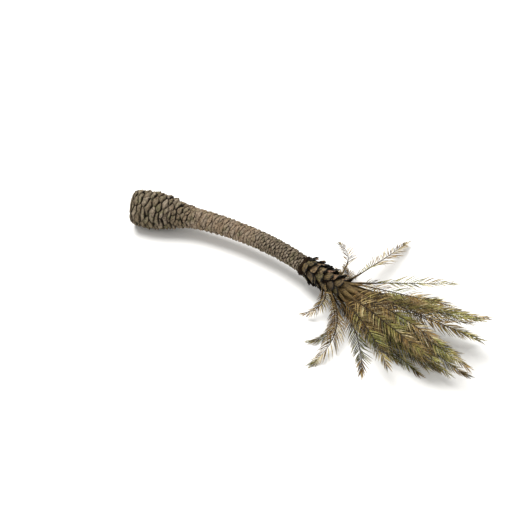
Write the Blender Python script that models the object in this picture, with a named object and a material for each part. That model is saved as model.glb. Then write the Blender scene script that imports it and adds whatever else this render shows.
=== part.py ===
"""A whole date palm, felled and dried, lying on the ground.

The trunk lies along +X with its foot at -X and its crown at +X. It rests on its swollen foot and on the
outer leaves of the crown. Metres, +Z up, the ground at z = 0, the origin under the middle of the palm's box.

Build order: the trunk, the fibre sheath round its head, the leaves, then the cut leaf bases between them.
A leaf, a leaflet or a leaf base that would touch a neighbour is left out, so the numbers of the leaves, which count
along their spiral, have gaps.
"""

import math

import bmesh
import bpy
from mathutils import Vector
from mathutils.bvhtree import BVHTree

# The trunk's centre line: where the foot's middle is on the ground plan, and how the line turns.
FOOT = (-3.911, -0.157)
TRUNK_LENGTH = 4.05
HEAD_LENGTH = 1.45
HEADING_FOOT = 20.0
HEADING_NECK = -17.0
HEADING_TIP = -9.0
HEIGHT_FOOT = 0.385
HEIGHT_NECK = 0.46
HEIGHT_TIP = 0.53
AXIS_STEP = 0.05

# (distance from the foot, radius): a swollen foot, a long even stem, then the tapering head inside the leaves.
TRUNK_PROFILE = (
    (0.0, 0.325),
    (0.04, 0.355),
    (0.18, 0.38),
    (0.40, 0.390),
    (0.65, 0.365),
    (0.90, 0.302),
    (1.15, 0.240),
    (1.40, 0.218),
    (2.00, 0.200),
    (2.80, 0.187),
    (3.60, 0.176),
    (4.05, 0.176),
    (4.14, 0.158),
    (4.90, 0.150),
    (5.20, 0.115),
    (5.50, 0.045),
)
TRUNK_SIDES = 24
TRUNK_RINGS = 44

# The sleeve of brown fibre that the leaf bases leave round the head.
SHEATH_START = 4.16
SHEATH_END = 5.28
SHEATH_THICKNESS = 0.012
SHEATH_RINGS = 7
GAP = 0.0006

# Cut leaf bases ("boots"): staggered rows of short wedges that lean out from the sheath.
BOOT_ROWS = 5
BOOTS_PER_ROW = 6
BOOT_FIRST_ROW = 4.18
BOOT_ROW_SPACING = 0.160
BOOT_LENGTH = 0.235
BOOT_WIDTH = 0.150
BOOT_END_WIDTH = 0.085
BOOT_THICKNESS = 0.036
BOOT_END_THICKNESS = 0.024
BOOT_LEAN = 13.0

# Leaves grow in a spiral round the head, a golden angle apart. A leaf's youth runs from 0, the oldest and lowest,
# to 1, the youngest. Each SPAN is the youth at which a change starts and ends.
LEAF_COUNT = 50
GOLDEN_ANGLE = 137.5
FIRST_LEAF_TURN = 65.0
OLDEST_LEAF = 4.58
YOUNGEST_LEAF = 5.30
# The old leaves on top of the head were cut off: those that face up at least this much, up to this youth.
CUT_FACING = 0.20
CUT_UNTIL = 0.66
# Length of the oldest leaf, and what the later ones gain over it. Leaves on top gain a little more.
OLDEST_LENGTH = 0.65
OLD_GAIN = 1.00
OLD_GAIN_SPAN = (0.08, 0.26)
YOUNG_GAIN = 0.90
YOUNG_GAIN_FROM = 0.25
TOP_GAIN = 0.18
TOP_GAIN_SPAN = (0.60, 0.85)
# Old leaves on the far side are broken short by this share of their length.
FAR_LOSS = 0.38
FAR_LOSS_SPAN = (0.35, 0.47)
# No two leaves are quite as long: by this share, in a cycle of this many degrees from leaf to leaf.
UNEVEN = 0.09
UNEVEN_CYCLE = 112.5
# Degrees from the centre line at a leaf's foot and at its tip, for the oldest and the youngest, by side.
NEAR_FOOT_OPENING = (55.0, 5.0)
NEAR_TIP_OPENING = (125.0, 6.0)
NEAR_TIP_SPAN = (0.20, 0.78)
FAR_FOOT_OPENING = (95.0, 8.0)
FAR_FOOT_SPAN = (0.45, 0.80)
FAR_TIP_OPENING = (175.0, 28.0)
FAR_TIP_SPAN = (0.25, 0.75)
# How a direction round the head counts as the far side, and as under the head, where the ground presses
# leaves forward.
FAR_SIDE_SPAN = (-0.83, 0.83)
UNDER_SHIFT = 0.5
UNDER_SPAN = (0.75, 1.00)
PRESSED_TIP = 15.0
SAG = 0.10
TOP_SAG = 0.18
FROND_STEPS = 48
FROND_SEGMENTS = 12
FROND_CLEARANCE = 0.030
OPENING_POWER = 1.3
STEEPEST_DIP = -0.6
STEEPEST_RISE = 0.3

# The youngest leaf, still folded into a spear that carries on from the tip of the head.
SPEAR_LENGTH = 1.45
SPEAR_PROFILE = (
    (0.00, 0.036),
    (0.12, 0.040),
    (0.60, 0.026),
    (1.00, 0.004),
)
SPEAR_RISE = 0.06
SPEAR_SIDES = 8

# (share of the leaf's length, width, thickness) of its stalk and midrib
STALK_PROFILE = (
    (0.00, 0.062, 0.030),
    (0.10, 0.046, 0.026),
    (0.30, 0.030, 0.020),
    (0.70, 0.018, 0.013),
    (1.00, 0.007, 0.006),
)
# (share of the leaf's length, leaflet length)
LEAFLET_PROFILE = (
    (0.17, 0.16),
    (0.30, 0.34),
    (0.50, 0.40),
    (0.75, 0.33),
    (1.00, 0.17),
)
FULL_SIZE_LEAF = 2.0
LEAFLET_SWEEP = 42.0
LEAFLET_LIFT = 0.18
LEAFLET_DROOP = 0.05
LEAFLET_TIP_SCALE = 0.10
LEAFLET_BACKING = 0.0015
FACE_TURN = 0.75

BARK = ("bark", (0.235, 0.190, 0.140), 0.92)
BASE_WOOD = ("leaf_base", (0.200, 0.155, 0.095), 0.85)
FIBRE = ("fibre", (0.120, 0.075, 0.040), 0.95)
LEAF = ("dry_leaf", (0.260, 0.215, 0.080), 0.75)


def clear_scene():
    for thing in list(bpy.data.objects):
        bpy.data.objects.remove(thing)


def material(name, colour, roughness):
    """A matt natural surface."""
    made = bpy.data.materials.get(name) or bpy.data.materials.new(name)
    made.use_nodes = True
    shader = made.node_tree.nodes["Principled BSDF"]
    shader.inputs["Base Color"].default_value = (*colour, 1.0)
    shader.inputs["Roughness"].default_value = roughness
    shader.inputs["Metallic"].default_value = 0.0
    return made


def lerp(low, high, share):
    return low + (high - low) * share


def eased(share):
    share = min(max(share, 0.0), 1.0)
    return share * share * (3 - 2 * share)


def ramp(value, span):
    """0 before the span, 1 after it, eased between."""
    return eased((value - span[0]) / (span[1] - span[0]))


def profile_value(profile, where, column=1):
    """A column of a profile table, at this place between its rows."""
    if where <= profile[0][0]:
        return profile[0][column]
    for before, after in zip(profile, profile[1:]):
        if where <= after[0]:
            share = (where - before[0]) / (after[0] - before[0])
            return lerp(before[column], after[column], share)
    return profile[-1][column]


def heading(distance):
    """Direction of the centre line on the ground plan, in radians from +X."""
    if distance <= TRUNK_LENGTH:
        return math.radians(lerp(HEADING_FOOT, HEADING_NECK, distance / TRUNK_LENGTH))
    share = (distance - TRUNK_LENGTH) / HEAD_LENGTH
    return math.radians(lerp(HEADING_NECK, HEADING_TIP, share))


def height(distance):
    if distance < TRUNK_LENGTH:
        return lerp(HEIGHT_FOOT, HEIGHT_NECK, eased(distance / TRUNK_LENGTH))
    return lerp(HEIGHT_NECK, HEIGHT_TIP, (distance - TRUNK_LENGTH) / HEAD_LENGTH)


def plan_points():
    """The centre line on the ground plan, one point each AXIS_STEP."""
    points = [Vector((FOOT[0], FOOT[1], 0.0))]
    for index in range(round((TRUNK_LENGTH + HEAD_LENGTH) / AXIS_STEP)):
        angle = heading(index * AXIS_STEP)
        points.append(points[-1] + AXIS_STEP * Vector((math.cos(angle), math.sin(angle), 0)))
    return points


PLAN = plan_points()


def axis_frame(distance):
    """(point, along, up, near) of the centre line, this far from the foot. near points to -Y."""
    index = min(int(distance / AXIS_STEP + 1e-9), len(PLAN) - 2)
    share = distance / AXIS_STEP - index
    point = PLAN[index].lerp(PLAN[index + 1], share)
    point.z = height(distance)
    angle = heading(distance)
    slope = (height(distance + 0.01) - height(distance)) / 0.01
    along = Vector((math.cos(angle), math.sin(angle), slope)).normalized()
    near = along.cross(Vector((0, 0, 1))).normalized()
    return point, along, near.cross(along), near


def outward(up, near, degrees):
    """Unit vector away from the centre line: 0 degrees is up, 90 is near."""
    angle = math.radians(degrees)
    return math.cos(angle) * up + math.sin(angle) * near


def ring_on_axis(distance, radius, sides):
    """A ring of points round the centre line. A flat side is lowest, so that it rests without rolling."""
    point, _, up, near = axis_frame(distance)
    return [
        point + radius * outward(up, near, 360 * (index + 0.5) / sides)
        for index in range(sides)
    ]


def bridge(mesh, first, second):
    """Faces between two rings of the same count, pointing out. Returns them in order."""
    count = len(first)
    return [
        mesh.faces.new((first[i], first[(i + 1) % count], second[(i + 1) % count], second[i]))
        for i in range(count)
    ]


def tube_mesh(rings):
    """A closed tube through these rings of points, with flat ends. Returns the mesh and its rows of side faces."""
    mesh = bmesh.new()
    rows = [[mesh.verts.new(point) for point in ring] for ring in rings]
    sides = [bridge(mesh, first, second) for first, second in zip(rows, rows[1:])]
    mesh.faces.new(rows[0][::-1])
    mesh.faces.new(rows[-1])
    return mesh, sides


def place(name, mesh, look, smooth=True):
    """An object with this bmesh, with its faces pointing out."""
    bmesh.ops.recalc_face_normals(mesh, faces=mesh.faces)
    data = bpy.data.meshes.new(name)
    mesh.to_mesh(data)
    mesh.free()
    data.materials.append(material(*look))
    if smooth:
        data.shade_smooth()
        data.set_sharp_from_angle(angle=math.radians(50))
    thing = bpy.data.objects.new(name, data)
    bpy.context.scene.collection.objects.link(thing)
    return thing


def tree_of(mesh):
    return BVHTree.FromBMesh(mesh)


def touches(tree, others):
    return any(tree.overlap(other) for other in others)


def trunk():
    """The stem from its swollen foot to the tapering head that the leaves grow on."""
    total = TRUNK_LENGTH + HEAD_LENGTH
    corners = [row[0] for row in TRUNK_PROFILE]
    even = [total * index / TRUNK_RINGS for index in range(TRUNK_RINGS + 1)]
    spaced = [at for at in even if min(abs(at - corner) for corner in corners) > 0.03]
    rings = [
        ring_on_axis(at, profile_value(TRUNK_PROFILE, at), TRUNK_SIDES)
        for at in sorted(corners + spaced)
    ]
    mesh, _ = tube_mesh(rings)
    return place("trunk", mesh, BARK)


def sheath_radius(distance):
    """Outside of the fibre sheath."""
    return profile_value(TRUNK_PROFILE, distance) + GAP + SHEATH_THICKNESS


def fibre_sheath():
    """An open sleeve round the head, between the stem and the leaf bases."""
    mesh = bmesh.new()
    corners = [row[0] for row in TRUNK_PROFILE if SHEATH_START < row[0] < SHEATH_END]
    even = [lerp(SHEATH_START, SHEATH_END, i / SHEATH_RINGS) for i in range(SHEATH_RINGS + 1)]
    stations = sorted(corners + [at for at in even if min(abs(at - c) for c in corners) > 0.03])
    outer, inner = [], []
    for at in stations:
        outside = sheath_radius(at)
        outer.append([mesh.verts.new(p) for p in ring_on_axis(at, outside, TRUNK_SIDES)])
        inside = outside - SHEATH_THICKNESS
        inner.append([mesh.verts.new(p) for p in ring_on_axis(at, inside, TRUNK_SIDES)])
    for rows in (outer, inner[::-1]):
        for first, second in zip(rows, rows[1:]):
            bridge(mesh, first, second)
    bridge(mesh, inner[0], outer[0])
    bridge(mesh, outer[-1], inner[-1])
    return place("fibre_sheath", mesh, FIBRE)


def boot_mesh(distance, degrees):
    """One cut leaf base: a wedge, bent round the sheath at its foot, that leans out to a narrower cut end."""
    lean = math.tan(math.radians(BOOT_LEAN))
    mesh = bmesh.new()
    layers = []
    for share in (0.0, 0.5, 1.0):
        at = distance + share * BOOT_LENGTH
        point, _, up, near = axis_frame(at)
        radius = sheath_radius(distance) + GAP + share * BOOT_LENGTH * lean
        radius += 0.006 * (1 - share)
        half = lerp(BOOT_WIDTH, BOOT_END_WIDTH, share) / 2 / radius
        thick = lerp(BOOT_THICKNESS, BOOT_END_THICKNESS, share)
        ring = []
        for depth, sides in ((0.0, (-1, 0, 1)), (thick, (1, 0, -1))):
            for side in sides:
                rounding = 0.3 * thick if side and depth else 0.0
                turn = math.radians(degrees) + side * half
                out = math.cos(turn) * up + math.sin(turn) * near
                ring.append(mesh.verts.new(point + (radius + depth - rounding) * out))
        layers.append(ring)
    for first, second in zip(layers, layers[1:]):
        bridge(mesh, first, second)
    mesh.faces.new(layers[0][::-1])
    mesh.faces.new(layers[-1])
    bmesh.ops.recalc_face_normals(mesh, faces=mesh.faces)
    return mesh


def boots(taken):
    """Rows of cut leaf bases, staggered by half a space. One that would touch a neighbour is left out."""
    count = 0
    for row in range(BOOT_ROWS):
        for index in range(BOOTS_PER_ROW):
            distance = BOOT_FIRST_ROW + row * BOOT_ROW_SPACING
            degrees = 360 / BOOTS_PER_ROW * (index + 0.5 * (row % 2))
            mesh = boot_mesh(distance, degrees)
            tree = tree_of(mesh)
            if touches(tree, taken):
                mesh.free()
                continue
            taken.append(tree)
            count += 1
            place(f"leaf_base_{count:02d}", mesh, BASE_WOOD)


def spear_leaf():
    """A long closed bud, straight on from the head, that lifts a little towards its tip."""
    end = TRUNK_LENGTH + HEAD_LENGTH
    base, along, up, near = axis_frame(end)
    rings = []
    for share, radius in SPEAR_PROFILE:
        middle = base + (GAP + share * SPEAR_LENGTH) * along + SPEAR_RISE * share * share * up
        turns = [360 * (index + 0.5) / SPEAR_SIDES for index in range(SPEAR_SIDES)]
        rings.append([middle + radius * outward(up, near, turn) for turn in turns])
    mesh, _ = tube_mesh(rings)
    return place("spear_leaf", mesh, LEAF)


def leaf_length(number, youth, far, top):
    length = OLDEST_LENGTH + OLD_GAIN * ramp(youth, OLD_GAIN_SPAN)
    length += YOUNG_GAIN * max(youth - YOUNG_GAIN_FROM, 0.0) / (1 - YOUNG_GAIN_FROM)
    length *= 1 - FAR_LOSS * far * (1 - ramp(youth, FAR_LOSS_SPAN))
    length += TOP_GAIN * top * ramp(youth, TOP_GAIN_SPAN)
    return length * (1 - UNEVEN * math.cos(math.radians(UNEVEN_CYCLE * (number - 1))))


def leaf_shape(number):
    """(degrees round the head, place of its foot, length, opening at foot and tip, sag) of this leaf of the spiral.

    Returns None for an old leaf that was cut off.
    """
    youth = number / (LEAF_COUNT - 1)
    degrees = FIRST_LEAF_TURN + number * GOLDEN_ANGLE
    near, up = math.sin(math.radians(degrees)), math.cos(math.radians(degrees))
    if up > CUT_FACING and youth < CUT_UNTIL:
        return None
    top, under = max(up, 0.0), max(-up, 0.0)
    far = ramp(-near - UNDER_SHIFT * under, FAR_SIDE_SPAN)

    near_foot = lerp(*NEAR_FOOT_OPENING, math.sqrt(youth))
    far_foot = lerp(*FAR_FOOT_OPENING, ramp(youth, FAR_FOOT_SPAN))
    near_tip = lerp(*NEAR_TIP_OPENING, ramp(youth, NEAR_TIP_SPAN))
    far_tip = lerp(*FAR_TIP_OPENING, ramp(youth, FAR_TIP_SPAN))
    open_foot = lerp(near_foot, far_foot, far)
    open_tip = lerp(lerp(near_tip, far_tip, far), PRESSED_TIP, ramp(under, UNDER_SPAN))

    start = lerp(OLDEST_LEAF, YOUNGEST_LEAF, youth)
    return degrees, start, leaf_length(number, youth, far, top), open_foot, open_tip, SAG + TOP_SAG * top


def frond_path(degrees, start, length, open_foot, open_tip, sag):
    """Centre line of a leaf: it leaves the head at open_foot, bends to open_tip, and lies along the ground."""
    point, along, up, near = axis_frame(start)
    out = outward(up, near, degrees)
    rise = sheath_radius(start) + GAP + STALK_PROFILE[0][2] / 2 + 0.004
    place_now = point + rise * out
    points = [place_now.copy()]
    step = length / FROND_STEPS
    for index in range(FROND_STEPS):
        share = (index + 0.5) / FROND_STEPS
        angle = math.radians(lerp(open_foot, open_tip, share**OPENING_POWER))
        direction = math.cos(angle) * along + math.sin(angle) * out
        direction.z -= sag * share
        direction.normalize()
        if place_now.z + direction.z * step < FROND_CLEARANCE:
            dip = (FROND_CLEARANCE - place_now.z) / step
            dip = min(max(dip, STEEPEST_DIP), STEEPEST_RISE)
            flat = Vector((direction.x, direction.y, 0)).normalized()
            direction = flat * math.sqrt(1 - dip * dip)
            direction.z = dip
        place_now = place_now + direction * step
        points.append(place_now.copy())
    return points


def frond_frames(row):
    """(point, along, side, face) at each ring of a leaf. face is the normal of its blade, which turns level."""
    _, head_along, up, near = axis_frame(row[1])
    out = outward(up, near, row[0])
    across = head_along.cross(out)
    points = frond_path(*row)
    stride = FROND_STEPS // FROND_SEGMENTS
    frames = []
    for ring in range(FROND_SEGMENTS + 1):
        index = ring * stride
        before, after = points[max(index - 1, 0)], points[min(index + 1, FROND_STEPS)]
        along = (after - before).normalized()
        side = (across - across.dot(along) * along).normalized()
        face = side.cross(along)
        level = Vector((0, 0, 1 if face.z >= -0.1 else -1))
        turn = FACE_TURN * eased(ring / FROND_SEGMENTS / 0.5)
        face = face.lerp(level, turn)
        face = (face - face.dot(along) * along).normalized()
        side = along.cross(face)
        frames.append((points[index], along, side, face))
    return frames


def stalk_ring(frame, share):
    """Four corners of the midrib's section: left and right sides face the leaflets."""
    point, _, side, face = frame
    width = profile_value(STALK_PROFILE, share) / 2
    thick = profile_value(STALK_PROFILE, share, 2) / 2
    return [
        point + side * width - face * thick * 0.6,
        point + side * width * 0.8 + face * thick,
        point - side * width * 0.8 + face * thick,
        point - side * width - face * thick * 0.6,
    ]


def on_ground(point):
    return Vector((point.x, point.y, max(point.z, 0.0)))


def leaflet_end(quad, before, after, hand, length):
    """The four corners at a leaflet's tip, for the stalk face that it grows from."""
    along = (before[1] + after[1]).normalized()
    side = before[2] * hand
    sweep = math.radians(LEAFLET_SWEEP)
    direction = math.cos(sweep) * along + math.sin(sweep) * side + LEAFLET_LIFT * before[3]
    middle = sum(quad, Vector()) / len(quad)
    tip = middle + length * direction.normalized()
    tip.z -= LEAFLET_DROOP
    ends = [tip + (corner - middle) * LEAFLET_TIP_SCALE for corner in quad]
    lowest = min(end.z for end in ends)
    shift = Vector((0, 0, max(-lowest, 0.0)))
    return [end + shift for end in ends]


def leaflet_trial(quad, ends):
    """The leaflet alone, a little clear of its stalk, to test what it would touch."""
    mesh = bmesh.new()
    away = (sum(ends, Vector()) - sum(quad, Vector())).normalized() * LEAFLET_BACKING
    rows = [[mesh.verts.new(p + away) for p in quad], [mesh.verts.new(p) for p in ends]]
    bridge(mesh, *rows)
    mesh.faces.new(rows[0][::-1])
    mesh.faces.new(rows[1])
    tree = tree_of(mesh)
    mesh.free()
    return tree


def stalk(row):
    """(mesh, rows of side faces, frames) of one leaf's stalk and midrib."""
    frames = frond_frames(row)
    shares = [ring / FROND_SEGMENTS for ring in range(FROND_SEGMENTS + 1)]
    rings = [[on_ground(p) for p in stalk_ring(f, s)] for f, s in zip(frames, shares)]
    mesh, sides = tube_mesh(rings)
    bmesh.ops.recalc_face_normals(mesh, faces=mesh.faces)
    return mesh, sides, frames


def add_leaflets(mesh, sides, frames, size, taken):
    """Draws leaflets out of the midrib's left and right faces. Returns what each one fills."""
    first_share = LEAFLET_PROFILE[0][0]
    grown = []
    for ring, faces in enumerate(sides):
        share = (ring + 0.5) / FROND_SEGMENTS
        if share < first_share:
            continue
        length = size * profile_value(LEAFLET_PROFILE, share)
        for hand, face in ((1, faces[0]), (-1, faces[2])):
            quad = [vertex.co.copy() for vertex in face.verts]
            ends = leaflet_end(quad, frames[ring], frames[ring + 1], hand, length)
            tree = leaflet_trial(quad, ends)
            if touches(tree, taken):
                continue
            grown.append(tree)
            new = bmesh.ops.extrude_discrete_faces(mesh, faces=[face])["faces"][0]
            for vertex in new.verts:
                nearest = min(range(4), key=lambda i: (quad[i] - vertex.co).length)
                vertex.co = ends[nearest]
    return grown


def grown_stalks(taken):
    """The stalks that stand clear and their trees, by number in the spiral. Each: mesh, sides, frames, length."""
    grown, trees = {}, {}
    for number in range(LEAF_COUNT):
        shape = leaf_shape(number)
        if shape is None:
            continue
        mesh, sides, frames = stalk(shape)
        tree = tree_of(mesh)
        if touches(tree, taken + list(trees.values())):
            mesh.free()
            continue
        grown[number] = (mesh, sides, frames, shape[2])
        trees[number] = tree
    return grown, trees


def fronds(taken):
    """Every leaf: all the stalks first, then the leaflets that fit between them."""
    grown, trees = grown_stalks(taken)
    leaflets = []
    for number, (mesh, sides, frames, length) in grown.items():
        others = [tree for other, tree in trees.items() if other != number]
        size = min(length / FULL_SIZE_LEAF, 1.0)
        leaflets += add_leaflets(mesh, sides, frames, size, taken + others + leaflets)
        place(f"frond_{number + 1:02d}", mesh, LEAF)
    return list(trees.values()) + leaflets


def main():
    clear_scene()
    stem = trunk()
    sheath = fibre_sheath()
    spear = spear_leaf()
    bpy.context.view_layer.update()
    graph = bpy.context.evaluated_depsgraph_get()
    core = [BVHTree.FromObject(thing, graph) for thing in (stem, sheath, spear)]
    boots(core + fronds(core))


main()
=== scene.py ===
# A whole date palm, felled and dried, lying on pale ground.
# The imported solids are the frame. Each one is replaced here by a piece with its real surface.
import itertools
import math

import bpy
import numpy as np
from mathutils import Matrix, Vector


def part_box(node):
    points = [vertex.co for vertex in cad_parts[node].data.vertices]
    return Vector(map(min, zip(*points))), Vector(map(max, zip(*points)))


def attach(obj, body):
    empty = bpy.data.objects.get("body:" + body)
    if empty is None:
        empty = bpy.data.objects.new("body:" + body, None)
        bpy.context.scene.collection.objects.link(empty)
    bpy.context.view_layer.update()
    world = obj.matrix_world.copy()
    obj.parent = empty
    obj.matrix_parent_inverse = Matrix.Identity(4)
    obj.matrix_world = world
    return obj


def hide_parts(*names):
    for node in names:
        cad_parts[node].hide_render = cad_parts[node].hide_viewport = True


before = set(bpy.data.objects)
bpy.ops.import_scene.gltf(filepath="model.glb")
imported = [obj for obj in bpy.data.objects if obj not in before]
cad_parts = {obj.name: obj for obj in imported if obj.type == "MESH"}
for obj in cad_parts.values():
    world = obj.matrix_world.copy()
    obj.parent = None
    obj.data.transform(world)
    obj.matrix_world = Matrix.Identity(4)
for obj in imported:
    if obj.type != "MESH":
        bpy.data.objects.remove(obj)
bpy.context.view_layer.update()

print("frame loaded:", len(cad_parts), "solids")

# the palm's growth line: the curve that the solids were built on, in metres
palm = {
    "foot": (-3.911, -0.157),  # middle of the foot on the ground plan
    "trunkLength": 4.05,
    "headLength": 1.45,
    "headings": (20.0, -17.0, -9.0),  # degrees from +X at the foot, neck and tip
    "heights": (0.385, 0.46, 0.53),  # centre line above the ground at the same three
    "step": 0.05,
    "sheath": 0.0126,  # how far the fibre sleeve stands off the head
    # (distance from the foot, radius of the head)
    "head": ((4.05, 0.176), (4.14, 0.158), (4.90, 0.150), (5.20, 0.115), (5.50, 0.045)),
}


def eased(share):
    share = np.clip(share, 0, 1)
    return share * share * (3 - 2 * share)


def unit(vectors):
    return vectors / np.maximum(np.linalg.norm(vectors, axis=-1, keepdims=True), 1e-9)


def dots(first, second):
    return (first * second).sum(-1, keepdims=True)


def table(rows, where, column=1):
    return np.interp(where, [row[0] for row in rows], [row[column] for row in rows])


def headingAt(distance):
    foot, neck, tip = palm["headings"]
    along = distance / palm["trunkLength"]
    beyond = (distance - palm["trunkLength"]) / palm["headLength"]
    turned = np.where(along <= 1, foot + (neck - foot) * along, neck + (tip - neck) * beyond)
    return np.radians(turned)


def heightAt(distance):
    foot, neck, tip = palm["heights"]
    along = distance / palm["trunkLength"]
    beyond = (distance - palm["trunkLength"]) / palm["headLength"]
    return np.where(along < 1, foot + (neck - foot) * eased(along), neck + (tip - neck) * beyond)


def growthPlan():
    count = round((palm["trunkLength"] + palm["headLength"]) / palm["step"])
    headings = headingAt(np.arange(count) * palm["step"])
    steps = palm["step"] * np.stack([np.cos(headings), np.sin(headings)], 1)
    return np.vstack([[palm["foot"]], palm["foot"] + np.cumsum(steps, 0)])


growthLine = growthPlan()


def axisFrames(distances):
    # point, along, up and near (towards -Y) on the growth line, for an array of distances
    distances = np.atleast_1d(np.asarray(distances, float))
    place = distances / palm["step"]
    index = np.clip(np.floor(place + 1e-9).astype(int), 0, len(growthLine) - 2)
    share = (place - index)[:, None]
    plan = growthLine[index] * (1 - share) + growthLine[index + 1] * share
    points = np.column_stack([plan, heightAt(distances)])
    heading = headingAt(distances)
    slope = (heightAt(distances + 0.01) - heightAt(distances)) / 0.01
    along = unit(np.column_stack([np.cos(heading), np.sin(heading), slope]))
    near = unit(np.cross(along, [0, 0, 1]))
    return points, along, np.cross(near, along), near


def sheathRadius(distance):
    return table(palm["head"], distance) + palm["sheath"]


def scramble(*whole):
    # the same whole numbers always give the same number from 0 to 1
    mixed = np.int64(0)
    for value, factor in zip(whole, (73856093, 19349663, 83492791, 49979687)):
        mixed = mixed ^ (np.asarray(value, np.int64) * factor)
    mixed = (mixed ^ (mixed >> 13)) * 1274126177 & 0x7FFFFFFF
    return ((mixed ^ (mixed >> 15)) & 0xFFFFFF) / 0xFFFFFF


def lumps(points, size, seed=0):
    # smooth noise from -1 to 1, with lumps of this size in metres
    scaled = np.asarray(points) / size
    cell = np.floor(scaled).astype(np.int64)
    inside = scaled - cell
    inside = inside * inside * (3 - 2 * inside)
    total = 0
    for corner in itertools.product((0, 1), repeat=3):
        weight = 1
        for axis in range(3):
            part = inside[..., axis]
            weight = weight * (part if corner[axis] else 1 - part)
        value = scramble(*(cell[..., axis] + corner[axis] for axis in range(3)), seed)
        total = total + weight * value
    return total * 2 - 1


def gridFaces(rows, columns, closed=True):
    # quads of a grid of points, row by row; closed joins the last column to the first
    across = np.arange(columns if closed else columns - 1)
    row = np.arange(rows - 1)[:, None]
    nextOne = (across + 1) % columns
    low, high = row * columns, (row + 1) * columns
    quads = np.stack([low + across, low + nextOne, high + nextOne, high + across], -1)
    return quads.reshape(-1, 4).tolist()


def tubeFaces(rows, columns):
    # the same with both ends closed
    last = (rows - 1) * columns
    return gridFaces(rows, columns) + [list(range(columns))[::-1], list(range(last, last + columns))]


class meshHeap:
    # gathers the points, faces and painted values of many shapes into one piece

    def __init__(self):
        self.points, self.faces, self.finishOfFace, self.paint = [], [], [], {}
        self.count = 0

    def add(self, points, faces, finish=0, **paint):
        points = np.asarray(points, float).reshape(-1, 3)
        self.points.append(points)
        self.faces += [[corner + self.count for corner in face] for face in faces]
        self.finishOfFace += [finish] * len(faces)
        for key, values in paint.items():
            values = np.broadcast_to(np.asarray(values, float).ravel(), (len(points),))
            self.paint.setdefault(key, []).append(values)
        self.count += len(points)

    def make(self, name, finishes, nodes=(), slot=None):
        mesh = bpy.data.meshes.new(name)
        mesh.from_pydata(np.vstack(self.points).tolist(), [], self.faces)
        for finish in finishes:
            mesh.materials.append(finish)
        mesh.polygons.foreach_set("material_index", np.array(self.finishOfFace, np.int32))
        for key, values in self.paint.items():
            layer = mesh.attributes.new(key, "FLOAT", "POINT")
            layer.data.foreach_set("value", np.concatenate(values).astype(np.float32))
        mesh.validate()
        mesh.shade_smooth()
        mesh.update()
        piece = bpy.data.objects.new(name, mesh)
        bpy.context.scene.collection.objects.link(piece)
        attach(piece, "root")
        if nodes:
            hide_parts(*nodes)
        return piece


def linear(hexColour):
    channels = [int(hexColour[i : i + 2], 16) / 255 for i in (1, 3, 5)]
    return tuple(c / 12.92 if c <= 0.04045 else ((c + 0.055) / 1.055) ** 2.4 for c in channels) + (1.0,)


def perMetre(millimetres):
    return 1000 / millimetres


def addNode(tree, kind, settings=None, links=None):
    # settings go to the node's own values, its sockets or its colour stops; links feed its sockets
    node = tree.nodes.new("ShaderNode" + kind)
    for key, value in (settings or {}).items():
        if key == "stops":
            for place, colour in value[len(node.color_ramp.elements) :]:
                node.color_ramp.elements.new(place)
            for element, (place, colour) in zip(node.color_ramp.elements, value):
                element.position = place
                element.color = linear(colour) if isinstance(colour, str) else (colour, colour, colour, 1)
        elif isinstance(key, str) and hasattr(node, key):
            setattr(node, key, value)
        elif isinstance(value, str) and value.startswith("#"):
            node.inputs[key].default_value = linear(value)
        else:
            node.inputs[key].default_value = value
    for key, source in (links or {}).items():
        tree.links.new(source, node.inputs[key])
    return node


def newFinish(name, roughness, ior, specular):
    finish = bpy.data.materials.new(name)
    finish.use_nodes = True
    shader = finish.node_tree.nodes["Principled BSDF"]
    shader.inputs["Roughness"].default_value = roughness
    shader.inputs["IOR"].default_value = ior
    shader.inputs["Specular IOR Level"].default_value = specular
    return finish, finish.node_tree, shader


mixOver = {"data_type": "RGBA"}
multiplyAll = {"data_type": "RGBA", "blend_type": "MULTIPLY", 0: 1.0}

bark = {
    # share of the trunk from foot to neck, colour
    "girth": (
        (0.00, "#96886F"), (0.25, "#97876E"), (0.33, "#AC967B"), (0.62, "#AF987E"),
        (0.74, "#968771"), (1.00, "#8F816B"),
    ),
    "weathered": "#BCAB96",
    # painted shade in the gaps between the leaf scars
    "crevice": "#1C140C",
    "rust": "#7E5E4A",
    "lichen": "#7C7C54",
    "lichenMm": 150,
    "mottleMm": 70,
    "grainMm": 34,  # the real grain is 3 mm; drawn coarse enough to show at this size
    "pitMm": 11,
}


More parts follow.
